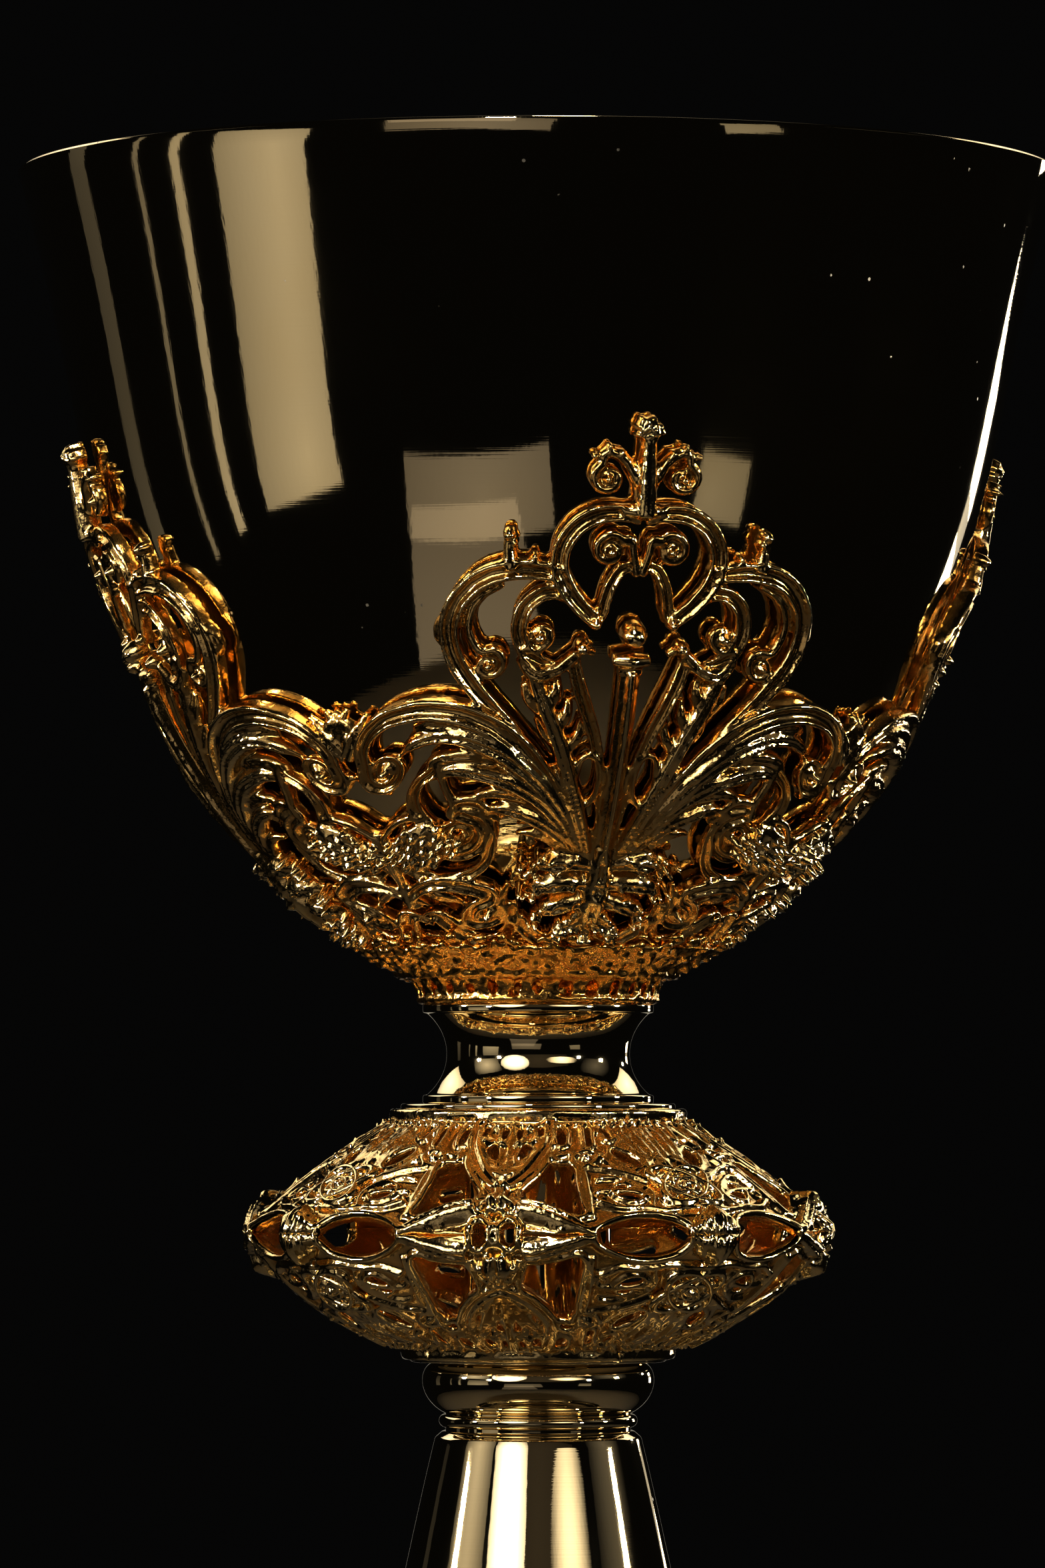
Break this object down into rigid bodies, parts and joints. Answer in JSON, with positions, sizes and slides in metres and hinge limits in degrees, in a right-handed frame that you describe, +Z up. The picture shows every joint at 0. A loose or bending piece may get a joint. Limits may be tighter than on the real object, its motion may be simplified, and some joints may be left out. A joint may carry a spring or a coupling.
{
  "type": "ciborium vessel",
  "caption": "Gilt ciborium: a deep mirror-polished cup in a pierced cast calyx, on a scotia collar, an openwork knop, a ring and a bell foot.",
  "frame": {"origin": "centre of the foot's bottom face", "axes": "+Z up along the vessel's axis; -Y is the front, where a palmette of the calyx stands in the middle; +X is to the right seen from the front"},
  "size_m": [0.116, 0.116, 0.21],
  "materials": {
    "polished_gold": "mirror-polished gold plate",
    "cast_gold": "gold-plated casting, bright on its edges and rough in its hollows",
    "raw_brass": "turned brass, unplated",
    "steel": "zinc-plated steel"
  },
  "bodies": {
    "stem": {"calyx_ring": "cast_gold", "calyx_panel_front": "cast_gold", "calyx_panel_right": "cast_gold", "calyx_panel_back": "cast_gold", "calyx_panel_left": "cast_gold", "collar": "polished_gold", "stem_socket": "raw_brass", "knop_cap_upper": "polished_gold", "knop_upper": "cast_gold", "knop_core": "polished_gold", "knop_lower": "cast_gold", "knop_cap_lower": "polished_gold", "stem_ring": "polished_gold", "neck_ring": "polished_gold", "foot_bell": "polished_gold", "foot_rim": "polished_gold", "foot_flange": "raw_brass", "rod_washer": "steel", "spring_washer": "steel", "rod_nut": "steel", "tie_rod": "steel"},
    "cup": {"cup_bowl": "polished_gold", "cup_boss": "raw_brass", "cup_stud": "steel"}
  },
  "joints": [
    {"name": "cup_lift", "type": "slide", "parent": "stem", "child": "cup", "axis": [0, 0, 1], "range_m": [0, 0.08]}
  ]
}
